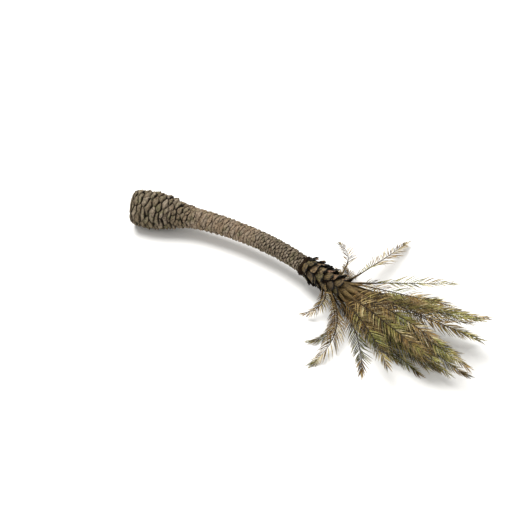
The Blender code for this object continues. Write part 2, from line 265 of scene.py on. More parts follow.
def weatheredBark():
    # old date palm bark: grey-brown and matt, paler where it weathers, with painted shade, near black, in the
    # gaps between the leaf scars
    finish, tree, shader = newFinish("weatheredPalmBark", roughness=0.92, ior=1.5, specular=0.15)
    place = addNode(tree, "TexCoord").outputs["Object"]
    girth = addNode(tree, "Attribute", {"attribute_name": "girth"}).outputs["Fac"]
    tone = addNode(tree, "Attribute", {"attribute_name": "tone"}).outputs["Fac"]
    crevice = addNode(tree, "Attribute", {"attribute_name": "crevice"}).outputs["Fac"]
    settings = {"Scale": perMetre(bark["mottleMm"]), "Detail": 5, "Roughness": 0.62}
    mottle = addNode(tree, "TexNoise", settings, {"Vector": place})
    settings = {"Scale": perMetre(bark["grainMm"]), "Detail": 5, "Roughness": 0.72}
    grain = addNode(tree, "TexNoise", settings, {"Vector": place})
    patches = addNode(tree, "TexNoise", {"Scale": perMetre(bark["lichenMm"]), "Detail": 3}, {"Vector": place})
    pits = addNode(
        tree, "TexNoise", {"Scale": perMetre(bark["pitMm"]), "Detail": 3, "Roughness": 0.7}, {"Vector": place}
    )

    base = addNode(tree, "ValToRGB", {"stops": bark["girth"]}, {"Fac": girth})
    paleShare = addNode(tree, "ValToRGB", {"stops": ((0.35, 0.0), (1.0, 0.75))}, {"Fac": tone})
    colour = addNode(
        tree, "Mix", {**mixOver, 7: bark["weathered"]}, {0: paleShare.outputs[0], 6: base.outputs[0]}
    )
    rustShare = addNode(tree, "ValToRGB", {"stops": ((0.50, 0.0), (0.70, 0.55))}, {"Fac": mottle.outputs[0]})
    colour = addNode(
        tree, "Mix", {**mixOver, 7: bark["rust"]}, {0: rustShare.outputs[0], 6: colour.outputs[2]}
    )
    lichenShare = addNode(
        tree, "ValToRGB", {"stops": ((0.52, 0.0), (0.70, 0.55))}, {"Fac": patches.outputs[0]}
    )
    colour = addNode(
        tree, "Mix", {**mixOver, 7: bark["lichen"]}, {0: lichenShare.outputs[0], 6: colour.outputs[2]}
    )
    speckle = addNode(
        tree, "ValToRGB", {"stops": ((0.38, 0.28), (0.50, 0.80), (0.60, 1.0))}, {"Fac": grain.outputs[0]}
    )
    colour = addNode(tree, "Mix", multiplyAll, {6: colour.outputs[2], 7: speckle.outputs[0]})
    # painted shade: the gaps between the leaf scars are painted near black
    gapShadeShare = addNode(
        tree, "ValToRGB", {"stops": ((0.20, 0.0), (0.55, 0.62), (0.90, 1.0))}, {"Fac": crevice}
    )
    colour = addNode(
        tree, "Mix", {**mixOver, 7: bark["crevice"]}, {0: gapShadeShare.outputs[0], 6: colour.outputs[2]}
    )
    tree.links.new(colour.outputs[2], shader.inputs["Base Color"])

    rough = addNode(tree, "Math", {"operation": "ADD"}, {0: grain.outputs[0], 1: pits.outputs[0]})
    bump = addNode(tree, "Bump", {"Strength": 1.0, "Distance": 0.030}, {"Height": rough.outputs[0]})
    tree.links.new(bump.outputs[0], shader.inputs["Normal"])
    return finish


boot = {
    "face": ((0.00, "#4F4128"), (0.30, "#75623E"), (0.50, "#666039"), (0.75, "#8A7653"), (1.00, "#946C52")),
    "stain": "#33271A",
    # near black: rot along the edges and cut ends, painted shade on the underside and under the lap
    "edge": "#0E0A07",
    "stripeMm": 14,  # the real fibres are 2 mm; drawn coarse enough to show at this size
    "stainMm": 45,
}


def cutLeafBase():
    # the stump of a cut leaf: hard tan skin with long fibres, rotted to black along its edges and cut end,
    # and painted shade on its underside and at its base, where the stump before it laps over
    finish, tree, shader = newFinish("dryLeafBase", roughness=0.7, ior=1.5, specular=0.25)
    place = addNode(tree, "TexCoord").outputs["Object"]
    tone = addNode(tree, "Attribute", {"attribute_name": "tone"}).outputs["Fac"]
    edge = addNode(tree, "Attribute", {"attribute_name": "edge"}).outputs["Fac"]
    lengthways = addNode(tree, "Mapping", {"Scale": (0.15, 1.0, 1.0)}, {"Vector": place})
    settings = {"Scale": perMetre(boot["stripeMm"]), "Detail": 4, "Roughness": 0.65}
    stripes = addNode(tree, "TexNoise", settings, {"Vector": lengthways.outputs[0]})
    rot = addNode(tree, "TexNoise", {"Scale": perMetre(boot["stainMm"]), "Detail": 4}, {"Vector": place})

    skin = addNode(tree, "ValToRGB", {"stops": boot["face"]}, {"Fac": tone})
    shade = addNode(
        tree, "ValToRGB", {"stops": ((0.38, 0.30), (0.50, 0.80), (0.60, 1.0))}, {"Fac": stripes.outputs[0]}
    )
    colour = addNode(tree, "Mix", multiplyAll, {6: skin.outputs[0], 7: shade.outputs[0]})
    rotShare = addNode(tree, "ValToRGB", {"stops": ((0.42, 0.0), (0.58, 0.85))}, {"Fac": rot.outputs[0]})
    colour = addNode(
        tree, "Mix", {**mixOver, 7: boot["stain"]}, {0: rotShare.outputs[0], 6: colour.outputs[2]}
    )
    ragged = addNode(tree, "Math", {"operation": "MULTIPLY_ADD", 1: 0.5}, {0: rot.outputs[0], 2: edge})
    edgeShare = addNode(tree, "ValToRGB", {"stops": ((0.72, 0.0), (0.95, 1.0))}, {"Fac": ragged.outputs[0]})
    colour = addNode(
        tree, "Mix", {**mixOver, 7: boot["edge"]}, {0: edgeShare.outputs[0], 6: colour.outputs[2]}
    )
    tree.links.new(colour.outputs[2], shader.inputs["Base Color"])
    bump = addNode(tree, "Bump", {"Strength": 0.8, "Distance": 0.008}, {"Height": stripes.outputs[0]})
    tree.links.new(bump.outputs[0], shader.inputs["Normal"])
    return finish


fibre = {"threads": ((0.30, "#0B0705"), (0.52, "#20160D"), (0.75, "#4A3620")), "threadMm": 12}


def mattedFibre():
    # the coarse net of threads that wraps the head: dull, hairy, dark brown to black
    finish, tree, shader = newFinish("mattedPalmFibre", roughness=0.95, ior=1.5, specular=0.1)
    place = addNode(tree, "TexCoord").outputs["Object"]
    lengthways = addNode(tree, "Mapping", {"Scale": (0.2, 1.0, 1.0)}, {"Vector": place})
    settings = {"Scale": perMetre(fibre["threadMm"]), "Detail": 4, "Roughness": 0.7}
    threads = addNode(tree, "TexNoise", settings, {"Vector": lengthways.outputs[0]})
    colour = addNode(tree, "ValToRGB", {"stops": fibre["threads"]}, {"Fac": threads.outputs[0]})
    tree.links.new(colour.outputs[0], shader.inputs["Base Color"])
    bump = addNode(tree, "Bump", {"Strength": 1.0, "Distance": 0.01}, {"Height": threads.outputs[0]})
    tree.links.new(bump.outputs[0], shader.inputs["Normal"])
    return finish


stalkSkin = {
    # share of the leaf from its foot to its tip, colour
    "along": (
        (0.00, "#5E4C2C"), (0.08, "#6E5A34"), (0.18, "#5E4A28"), (0.32, "#3A2C19"),
        (0.70, "#2E2317"), (1.00, "#453722"),
    ),
    "amber": "#7C5730",
    "amberMm": 160,
    "streakMm": 14,  # the real veins are 1 mm; drawn coarse enough to show at this size
}


def dryStalk():
    # stalk and midrib: hard waxy skin with long veins, olive tan at its base and dark brown further out
    finish, tree, shader = newFinish("dryLeafStalk", roughness=0.65, ior=1.47, specular=0.2)
    place = addNode(tree, "TexCoord").outputs["Object"]
    along = addNode(tree, "Attribute", {"attribute_name": "along"}).outputs["Fac"]
    patches = addNode(
        tree, "TexNoise", {"Scale": perMetre(stalkSkin["amberMm"]), "Detail": 3}, {"Vector": place}
    )
    lengthways = addNode(tree, "Mapping", {"Scale": (0.12, 1.0, 1.0)}, {"Vector": place})
    settings = {"Scale": perMetre(stalkSkin["streakMm"]), "Detail": 3}
    veins = addNode(tree, "TexNoise", settings, {"Vector": lengthways.outputs[0]})

    skin = addNode(tree, "ValToRGB", {"stops": stalkSkin["along"]}, {"Fac": along})
    amberShare = addNode(
        tree, "ValToRGB", {"stops": ((0.61, 0.0), (0.74, 0.45))}, {"Fac": patches.outputs[0]}
    )
    colour = addNode(
        tree, "Mix", {**mixOver, 7: stalkSkin["amber"]}, {0: amberShare.outputs[0], 6: skin.outputs[0]}
    )
    shade = addNode(
        tree, "ValToRGB", {"stops": ((0.40, 0.25), (0.50, 0.85), (0.60, 1.0))}, {"Fac": veins.outputs[0]}
    )
    colour = addNode(tree, "Mix", multiplyAll, {6: colour.outputs[2], 7: shade.outputs[0]})
    tree.links.new(colour.outputs[2], shader.inputs["Base Color"])
    bump = addNode(tree, "Bump", {"Strength": 0.6, "Distance": 0.004}, {"Height": veins.outputs[0]})
    tree.links.new(bump.outputs[0], shader.inputs["Normal"])
    return finish


blade = {
    "brown": ((0.00, "#2B1F14"), (0.22, "#5E4524"), (0.48, "#94753F"), (0.72, "#C0A56C"), (1.00, "#E0D0A8")),
    "olive": ((0.00, "#2C2B16"), (0.38, "#68682C"), (0.68, "#9A9748"), (1.00, "#C8C382")),
    "dryTip": "#C6AC7E",
    # painted shade along each leaflet's fold
    "fold": "#3A2A16",
    "blotchMm": 70,
    "veinMm": 9,  # the real veins are 0.5 mm; drawn coarse enough to show up close
}


def dryLeaflet():
    # a dried palm leaflet: thin, stiff and faintly waxy, from olive through golden brown to straw, with
    # painted shade along its fold
    finish, tree, shader = newFinish("dryPalmLeaflet", roughness=0.55, ior=1.45, specular=0.3)
    place = addNode(tree, "TexCoord").outputs["Object"]
    tone = addNode(tree, "Attribute", {"attribute_name": "tone"}).outputs["Fac"]
    green = addNode(tree, "Attribute", {"attribute_name": "green"}).outputs["Fac"]
    along = addNode(tree, "Attribute", {"attribute_name": "along"}).outputs["Fac"]
    creaseShade = addNode(tree, "Attribute", {"attribute_name": "fold"}).outputs["Fac"]
    settings = {"Scale": perMetre(blade["blotchMm"]), "Detail": 4, "Roughness": 0.6}
    blotches = addNode(tree, "TexNoise", settings, {"Vector": place})
    veins = addNode(tree, "TexNoise", {"Scale": perMetre(blade["veinMm"]), "Detail": 2}, {"Vector": place})

    brown = addNode(tree, "ValToRGB", {"stops": blade["brown"]}, {"Fac": tone})
    olive = addNode(tree, "ValToRGB", {"stops": blade["olive"]}, {"Fac": tone})
    colour = addNode(tree, "Mix", mixOver, {0: green, 6: brown.outputs[0], 7: olive.outputs[0]})
    tipShare = addNode(tree, "ValToRGB", {"stops": ((0.50, 0.0), (1.00, 0.7))}, {"Fac": along})
    colour = addNode(
        tree, "Mix", {**mixOver, 7: blade["dryTip"]}, {0: tipShare.outputs[0], 6: colour.outputs[2]}
    )
    shade = addNode(tree, "ValToRGB", {"stops": ((0.36, 0.42), (0.54, 1.0))}, {"Fac": blotches.outputs[0]})
    colour = addNode(tree, "Mix", multiplyAll, {6: colour.outputs[2], 7: shade.outputs[0]})
    # painted shade: the fold is darkened
    creaseShadeShare = addNode(tree, "ValToRGB", {"stops": ((0.60, 0.0), (1.00, 0.45))}, {"Fac": creaseShade})
    colour = addNode(
        tree, "Mix", {**mixOver, 7: blade["fold"]}, {0: creaseShadeShare.outputs[0], 6: colour.outputs[2]}
    )
    tree.links.new(colour.outputs[2], shader.inputs["Base Color"])
    bump = addNode(tree, "Bump", {"Strength": 0.3, "Distance": 0.002}, {"Height": veins.outputs[0]})
    tree.links.new(bump.outputs[0], shader.inputs["Normal"])
    return finish


barkFinish = weatheredBark()
bootFinish = cutLeafBase()
fibreFinish = mattedFibre()
stalkFinish = dryStalk()
leafletFinish = dryLeaflet()
print("finishes ready")

trunk = {
    "sides": 180,
    "rings": 520,
    "end": 4.22,  # hidden inside the fibre sleeve
    # (distance from the foot, radius of the bark before its relief)
    "girth": (
        (0.00, 0.345), (0.10, 0.368), (0.25, 0.382), (0.40, 0.388), (0.65, 0.362), (0.90, 0.302),
        (1.15, 0.240), (1.40, 0.216), (2.00, 0.199), (2.80, 0.186), (3.60, 0.175), (4.22, 0.170),
    ),
    # old leaf scars lie in spiral nets: scales round the trunk, rows climbed in one turn,
    # how far each scale bows towards the foot, and (distance, row spacing)
    "nets": (
        {"round": 8, "climb": 2, "bow": 0.44, "wander": (0.36, 0.28),
         "spacing": ((0.0, 0.104), (0.6, 0.100), (1.0, 0.086), (1.4, 0.068))},
        {"round": 5, "climb": 2, "bow": 0.32, "wander": (0.30, 0.20),
         "spacing": ((1.0, 0.062), (2.0, 0.066), (3.2, 0.062))},
        {"round": 10, "climb": 2, "bow": 0.50, "wander": (0.30, 0.24),
         "spacing": ((2.6, 0.062), (4.3, 0.056))},
    ),
    # (distance, share of each net)
    "share": (
        ((1.22, 1.0), (1.50, 0.0)),
        ((1.22, 0.0), (1.50, 1.0), (2.60, 1.0), (2.95, 0.0)),
        ((2.60, 0.0), (2.95, 1.0)),
    ),
    # (distance, depth of the relief)
    "relief": (
        (0.0, 0.044), (0.4, 0.066), (0.9, 0.060), (1.2, 0.044), (1.5, 0.031),
        (2.6, 0.028), (3.1, 0.034), (4.2, 0.036),
    ),
    # (distance, how dark the painted shade in the gaps is)
    "gaps": ((0.0, 1.0), (1.2, 1.0), (1.5, 0.66), (2.6, 0.60), (3.0, 0.92), (4.2, 1.0)),
    # (size of the lumps, their depth in the bulb, their depth further up), metres
    "lumps": ((0.13, 0.014, 0.006), (0.055, 0.014, 0.004), (0.028, 0.010, 0.0025), (0.016, 0.0040, 0.0012)),
    "scatter": (0.52, 0.62),  # how far a scale sits off its place in the net, sideways and along
    "gapWidth": 0.42,
    "wanderSize": 0.16,  # metres over which a net strays from its even course
    "reliefLevel": 0.62,  # the height of a scale that stands at the girth
    "smoothRings": 25,
    "bulbEnd": (1.05, 1.45),  # the bulb's deep lumps fade out between these
    "rimGroove": (0.014, 0.011, 0.026),  # place, half width and depth
    "footDome": 0.048,
    "domeRings": 12,
    "rootLumps": ((0.06, 0.014), (0.022, 0.007)),  # size and depth
    "seed": 11,
}


def scarNet(net, distances, turns, wander):
    # one net of scars: how high each spot stands, how much painted shade it gets near a gap, and its scale's
    # own shade
    fine = np.linspace(-0.2, 4.6, 1400)
    rows = np.concatenate([[0], np.cumsum(np.diff(fine) / table(net["spacing"], fine[:-1]))])
    row = np.interp(distances, fine, rows)[:, None] + net["climb"] * turns[None, :]
    row = row + net["wander"][0] * wander[0]
    column = net["round"] * turns[None, :] + net["wander"][1] * wander[1]
    nearest, second = np.full(row.shape, 9.0), np.full(row.shape, 9.0)
    shade, lean = np.zeros(row.shape), np.zeros(row.shape)
    for rowStep, columnStep in itertools.product((-2, -1, 0, 1, 2), (-1, 0, 1)):
        i = np.floor(row + 0.5).astype(np.int64) + rowStep
        j = np.floor(column - 0.5 * i + 0.5).astype(np.int64) + columnStep
        lap = np.floor((j + 0.5 * i) / net["round"]).astype(np.int64)
        own = (i - lap * net["climb"], j - lap * (net["round"] - net["climb"] // 2))
        sideways = column - (j + 0.5 * i) - trunk["scatter"][0] * (scramble(*own, 3, trunk["seed"]) - 0.5)
        along = row - i - trunk["scatter"][1] * (scramble(*own, 7, trunk["seed"]) - 0.5)
        along = along - net["bow"] * sideways**2
        gap = (np.abs(sideways) ** 1.5 + np.abs(along * 0.78) ** 1.5) ** (1 / 1.5)
        closer = gap < nearest
        second = np.where(closer, nearest, np.minimum(second, gap))
        shade = np.where(closer, scramble(*own, 5, trunk["seed"]), shade)
        lean = np.where(closer, along, lean)
        nearest = np.where(closer, gap, nearest)
    apart = second - nearest
    lip = np.clip(0.5 + lean / 1.3, 0, 1)  # each scale rises towards the crown and then drops
    height = eased(apart / trunk["gapWidth"]) * (0.42 + 0.66 * lip + 0.20 * (shade - 0.5))
    # the painted shade in the gap is a crescent under the lip and only a thin line elsewhere
    return height, (1 - eased(apart / (0.13 + 0.55 * lip**2))) * (0.55 + 0.45 * lip), shade


def roundTheTrunk(distances, turns):
    points, along, up, near = axisFrames(distances)
    angle = 2 * math.pi * turns
    out = np.cos(angle)[None, :, None] * up[:, None] + np.sin(angle)[None, :, None] * near[:, None]
    return points, along, out


def buildTrunk():
    body = np.linspace(0, trunk["end"], trunk["rings"])
    turns = np.arange(trunk["sides"]) / trunk["sides"]
    points, along, out = roundTheTrunk(body, turns)
    window = np.hanning(trunk["smoothRings"])
    padded = np.pad(table(trunk["girth"], body), trunk["smoothRings"] // 2, mode="edge")
    girth = np.convolve(padded, window / window.sum(), "valid")
    spots = points[:, None] + girth[:, None, None] * out
    wander = lumps(spots, trunk["wanderSize"], 31), lumps(spots, trunk["wanderSize"], 32)
    height = crevice = shade = 0
    for net, share in zip(trunk["nets"], trunk["share"]):
        weight = table(share, body)[:, None]
        netHeight, netGapShade, netShade = scarNet(net, body, turns, wander)
        height = height + weight * netHeight
        crevice = crevice + weight * netGapShade
        shade = shade + weight * netShade
    radius = girth[:, None] + table(trunk["relief"], body)[:, None] * (height - trunk["reliefLevel"])
    fadeFrom, fadeTo = trunk["bulbEnd"]
    bulb = eased((fadeTo - body) / (fadeTo - fadeFrom))[:, None]
    for seed, (size, deep, shallow) in enumerate(trunk["lumps"], 41):
        radius = radius + (shallow + (deep - shallow) * bulb) * lumps(spots, size, seed)
    place, halfWidth, depth = trunk["rimGroove"]
    groove = np.exp(-(((body - place) / halfWidth) ** 2))[:, None]
    radius = radius - depth * groove
    # painted shade in the gaps, patchy and weaker along the middle of the trunk; the rim groove is painted
    # dark as shade too
    crevice = crevice * table(trunk["gaps"], body)[:, None] * (1.0 + 0.60 * lumps(spots, 0.07, 52))
    crevice = np.clip(np.maximum(crevice, groove), 0, 1)
    shade = shade + 0.25 * lumps(spots, 0.05, 51)
    surface = points[:, None] + radius[..., None] * out

    # the root end domes out behind the foot, rough with root stumps
    rings, gaps = [], []
    coarse, fine = trunk["rootLumps"]
    for share in np.linspace(0.985, 0.0, trunk["domeRings"], endpoint=False):
        ring = radius[0] * (1 - share**1.9) ** 0.8
        spot = points[0] - trunk["footDome"] * math.sin(share * math.pi / 2) * along[0]
        spot = spot + ring[:, None] * out[0]
        knob = coarse[1] * lumps(spot, coarse[0], 61) + fine[1] * lumps(spot, fine[0], 62)
        knob = knob * (share < 0.97)
        rings.append(spot - knob[:, None] * along[0])
        # the root end is darkened in patches with the same colour
        gaps.append(0.22 + 0.35 * lumps(spot, 0.04, 63))
    everyRing = np.concatenate([np.array(rings), surface])
    everyRing[..., 2] = np.maximum(everyRing[..., 2], 0.0)
    extra = np.zeros((len(rings), trunk["sides"]))
    heap = meshHeap()
    rows, columns = everyRing.shape[:2]
    share = np.concatenate([np.zeros(len(rings)), body / palm["trunkLength"]])
    heap.add(
        everyRing,
        tubeFaces(rows, columns),
        crevice=np.concatenate([np.array(gaps), crevice]),
        tone=np.concatenate([extra + 0.8, shade]),
        girth=np.repeat(np.clip(share, 0, 1), columns),
    )
    heap.make("trunkBark", [barkFinish], nodes=["trunk"], slot="bark")


buildTrunk()
print("trunk built")

sleeve = {
    "start": 4.06,
    "end": 5.38,
    "rings": 96,
    "sides": 96,
    "lip": (4.085, 0.035, 0.036),  # place, half width and height of its swollen hem
    "hemRaggedness": 3.0,
    "lumps": ((0.06, 0.010), (0.022, 0.007)),  # size and depth
    "strands": 520,
    "strandRadius": 0.0026,
    "strandFrom": (4.07, 5.2),
    "strandLength": (0.06, 0.17),
    "seed": 23,
}


def addStrand(heap, path, radii, sides, finish=0, **paint):
    # a tapering tube along these points
    ahead = unit(np.gradient(path, axis=0))
    across = unit(np.cross(ahead, [0.31, 0.22, 0.93]))
    over = np.cross(ahead, across)
    turn = 2 * math.pi * np.arange(sides) / sides
    ring = np.cos(turn)[None, :, None] * across[:, None] + np.sin(turn)[None, :, None] * over[:, None]
    heap.add(
        path[:, None] + np.asarray(radii)[:, None, None] * ring, tubeFaces(len(path), sides), finish, **paint
    )


def roundTheHead(distance, degrees):
    # point, along, outward and sideways on the head
    base, ahead, over, near = (value[0] for value in axisFrames([distance]))
    turn = math.radians(degrees)
    outward = math.cos(turn) * over + math.sin(turn) * near
    return base, ahead, outward, np.cross(ahead, outward)


def buildSleeve():
    heap = meshHeap()
    body = np.linspace(sleeve["start"], sleeve["end"], sleeve["rings"])
    turns = np.arange(sleeve["sides"]) / sleeve["sides"]
    points, along, out = roundTheTrunk(body, turns)
    place, halfWidth, height = sleeve["lip"]
    lip = height * np.exp(-(((body - place) / halfWidth) ** 2))
    radius = (sheathRadius(body) + lip)[:, None]
    spots = points[:, None] + radius[..., None] * out
    ragged = 1 + sleeve["hemRaggedness"] * (lip / height)[:, None]
    coarse, fine = sleeve["lumps"]
    radius = radius + ragged * (coarse[1] * lumps(spots, coarse[0], 8) + fine[1] * lumps(spots, fine[0], 9))
    heap.add(points[:, None] + radius[..., None] * out, tubeFaces(*radius.shape))
    chance = np.random.default_rng(sleeve["seed"])
    share = np.linspace(0, 1, 5)[:, None]
    for _ in range(sleeve["strands"]):
        start = chance.uniform(*sleeve["strandFrom"])
        base, ahead, outward, sideways = roundTheHead(start, chance.uniform(0, 360))
        length = chance.uniform(*sleeve["strandLength"])
        rise, drift = chance.uniform(0.1, 0.8), chance.uniform(-0.9, 0.9)
        path = base + (sheathRadius(start) + 0.006) * outward
        path = path + share * length * (ahead + drift * 0.7 * sideways)
        path = path + outward * length * rise * (share - 0.45 * share**2)
        path = path + sideways * 0.03 * np.sin(share * 4)
        path[:, 2] = np.maximum(path[:, 2], 0.004)
        addStrand(heap, path, sleeve["strandRadius"] * (1.05 - share[:, 0]), 3)
    heap.make("fibreSleeve", [fibreFinish], nodes=["fibre_sheath"], slot="fibre")


leafBase = {
    "rows": 12,
    "columns": 13,
    "length": 0.215,
    "width": 0.200,
    "endWidth": 0.165,
    "thickness": 0.034,
    "lift": 0.050,  # how far the free end stands off the head
    "hook": 0.034,  # how much further its very end may curl out
    "lengthSpread": (0.84, 1.18),
    "astray": (0.034, 13),  # how far one may sit off its place: metres along the head, degrees round it
    "perRow": 6,
    "rowCount": 6,
    "firstRow": 4.115,
    "rowSpacing": 0.160,
    "seed": 5,
}


def addLeafBase(heap, distance, degrees, chance, size=1.0):
    # one stump, broad where it clasps the head, with a hooked and ragged free end
    rows, columns = leafBase["rows"], leafBase["columns"]
    share, side = np.linspace(0, 1, rows), np.linspace(-1, 1, columns)
    length = leafBase["length"] * size * chance.uniform(*leafBase["lengthSpread"])
    base, ahead, over, near = axisFrames(distance + share * length)
    hook = leafBase["hook"] * chance.uniform(0.1, 1.2)
    radius = sheathRadius(distance) - 0.004 + leafBase["lift"] * share**1.2 + hook * share**4
    width = size * (leafBase["width"] + (leafBase["endWidth"] - leafBase["width"]) * share**1.6)
    width = width * np.sqrt(np.clip(1.10 - share**8, 0, 1)) * (0.86 + 0.14 * eased(share / 0.2))
    thick = leafBase["thickness"] * size * (0.45 + 0.75 * share - 0.30 * share**3)
    skew = 0.025 * chance.uniform(-1, 1)
    across = side[None, :] * width[:, None] / 2 + skew * share[:, None]
    turn = math.radians(degrees) + across / radius[:, None]
    outward = np.cos(turn)[..., None] * over[:, None] + np.sin(turn)[..., None] * near[:, None]
    bulge = np.sqrt(np.clip(1 - side**2, 0, 1))[None, :]
    ridge = 0.007 * np.exp(-((side / 0.25) ** 2))[None, :] * share[:, None]
    outer = radius[:, None] + thick[:, None] * (0.10 + 0.90 * bulge) + ridge
    inner = radius[:, None] - 0.012 + 0.010 * share[:, None] * bulge
    skins = []
    for seed, depth in ((12, outer), (13, inner)):
        skin = base[:, None] + depth[..., None] * outward
        skin = skin + outward * (0.005 * lumps(skin, 0.035, seed))[..., None]
        torn = share[:, None] ** 3 * (0.022 * lumps(skin, 0.026, 14) - 0.030 * np.abs(side)[None, :] ** 2)
        skins.append((skin + ahead[:, None] * torn[..., None]).reshape(-1, 3))
    count = rows * columns
    top = gridFaces(rows, columns, closed=False)
    under = [[corner + count for corner in face[::-1]] for face in top]
    rim = list(range(columns))
    rim += [row * columns + columns - 1 for row in range(1, rows)]
    rim += [count - 1 - step for step in range(1, columns)]
    rim += [row * columns for row in range(rows - 2, 0, -1)]
    wall = [[b, a, a + count, b + count] for a, b in zip(rim, rim[1:] + rim[:1])]
    points = np.concatenate(skins)
    points[:, 2] = np.maximum(points[:, 2], 0.003)
    # sides and cut end go black as rot; the base, under the lap of the stump before, and the whole underside
    # get painted shade
    ends = np.maximum(share[:, None] ** 3.2, 0.75 - 5 * share[:, None])
    edge = np.maximum(np.abs(side[None, :]) ** 4, ends).ravel()
    heap.add(
        points, top + under + wall, tone=chance.uniform(0, 1), edge=np.concatenate([edge, np.ones(count)])
    )


def buildLeafBases():
    # rings of stumps, each one lapping the next; every stump belongs to the nearest solid
    solids = sorted(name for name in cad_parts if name.startswith("leaf_base"))
    middles = {name: np.array(sum(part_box(name), Vector()) / 2) for name in solids}
    chance = np.random.default_rng(leafBase["seed"])
    heaps = {name: meshHeap() for name in solids}
    forth, aside = leafBase["astray"]
    for row in range(leafBase["rowCount"]):
        for column in range(leafBase["perRow"]):
            distance = leafBase["firstRow"] + row * leafBase["rowSpacing"] + chance.uniform(-forth, forth)
            degrees = 360 / leafBase["perRow"] * (column + 0.5 * (row % 2)) + chance.uniform(-aside, aside)
            base, _, outward, _ = roundTheHead(distance + 0.1, degrees)
            spot = base + 0.19 * outward
            closest = min(solids, key=lambda name: np.linalg.norm(middles[name] - spot))
            addLeafBase(heaps[closest], distance, degrees, chance, 1.0 - 0.05 * max(0, row - 3))
    for name in solids:
        if not heaps[name].count:
            # a solid with no stump yet gets one where it stands
            tried = np.arange(4.1, 5.1, 0.02)
            beside = tried[np.argmin(np.linalg.norm(axisFrames(tried)[0] - middles[name], axis=1))]
            distance = beside - 0.1
            base, _, over, near = (value[0] for value in axisFrames([beside]))
            away = middles[name] - base
            addLeafBase(heaps[name], distance, math.degrees(math.atan2(away @ near, away @ over)), chance)
        heaps[name].make("leafBase" + name[-2:], [bootFinish], nodes=[name], slot="leaf_base")


stubs = {
    "count": 34,
    "from": 4.10,
    "span": 0.80,
    "radius": 0.020,
    "length": (0.05, 0.12),
    "topDegrees": (-45, 35),  # middle and spread of most; every third one sits underneath
    "underDegrees": (140, 200),
    "seed": 41,
}


def buildStubs():
    # short black hooks: what is left of thin stalks, mostly along the top of the head
    heap = meshHeap()
    chance = np.random.default_rng(stubs["seed"])
    share = np.linspace(0, 1, 8)[:, None]
    for index in range(stubs["count"]):
        start = stubs["from"] + stubs["span"] * (index + chance.uniform(0, 1)) / stubs["count"]
        degrees = chance.normal(*stubs["topDegrees"]) if index % 3 else chance.uniform(*stubs["underDegrees"])
        base, ahead, outward, sideways = roundTheHead(start, degrees)
        length, lean = chance.uniform(*stubs["length"]), chance.uniform(-0.4, 0.4)
        path = base + (sheathRadius(start) + 0.030) * outward
        bow = outward * (0.95 * share - 0.15 * share**2) + ahead * (0.35 * share + 0.75 * share**2)
        path = path + length * bow
        path = path + length * lean * sideways * share
        path[:, 2] = np.maximum(path[:, 2], 0.022)
        radii = stubs["radius"] * (1.1 - 0.35 * share[:, 0]) * (1 + 0.22 * np.sin(9 * share[:, 0] + degrees))
        radii[-1] *= 0.5
        tone = chance.uniform(0, 1)
        charred = np.repeat(1.2 - 0.9 * share[:, 0] * (tone > 0.75), 7)
        addStrand(heap, path, radii, 7, tone=tone, edge=charred)
    heap.make("cutStalkStubs", [bootFinish], slot="leaf_base")


buildSleeve()
buildLeafBases()
buildStubs()
print("head built")

# Leaves grow in a spiral, a golden angle apart. A leaf's youth runs from 0, the oldest, to 1, the youngest.
fronds = {
    "count": 50,
    "goldenAngle": 137.5,
    "firstTurn": 65.0,
    "feet": (4.58, 5.30),  # places of the oldest and the youngest leaf along the growth line
    "cutFacing": 0.20,  # old leaves that face up this much were cut off, up to the youth below
    "cutUntil": 0.66,
    "oldestLength": 0.65,
    # what later leaves gain, and the youth at which the gain starts and ends
    "oldGain": (1.00, (0.08, 0.26)),
    "youngGain": (0.90, 0.25),
    "topGain": (0.18, (0.60, 0.85)),
    "farLoss": (0.38, (0.35, 0.47)),
    "uneven": (0.09, 112.5),  # share by which lengths vary, and degrees of that cycle from leaf to leaf
    # opening in degrees of the oldest and the youngest leaf, and the youth span of the change
    "nearFoot": (55.0, 5.0),
    "nearTip": ((125.0, 6.0), (0.20, 0.78)),
    "farFoot": ((95.0, 8.0), (0.45, 0.80)),
    "farTip": ((175.0, 28.0), (0.25, 0.75)),
    "farSide": (-0.83, 0.83),
    "underShift": 0.5,
    "under": (0.75, 1.00),  # the ground presses these forward
    "pressedTip": 15.0,
    "sag": (0.10, 0.18),  # of any leaf, and what one on top has more
    "inner": (35.5, 45.0, 4),  # leaves at some half steps, which have no solid: from, before, step
    "steps": 48,
    "clearance": 0.030,
    "openingPower": 1.3,
    "dip": (-0.6, 0.3),  # how steeply a leaf may drop to the ground and rise from it
    "faceTurn": 0.88,  # how far a leaf's face turns level along its first half
    # metres from the foot of the leaf: width and thickness of its stalk
    "stalkBase": (
        (-0.16, 0.110, 0.030), (0.0, 0.125, 0.036), (0.12, 0.100, 0.036),
        (0.28, 0.060, 0.030), (0.48, 0.038, 0.026),
    ),
    "clasp": (-0.16, -0.11, -0.06, -0.025),  # places behind the leaf's foot where the stalk clasps the head
    # share of the leaf's length: the same
    "midrib": ((0.2, 0.034, 0.025), (0.3, 0.028, 0.020), (0.7, 0.016, 0.012), (1.0, 0.006, 0.005)),
    "stalkSides": 10,
}

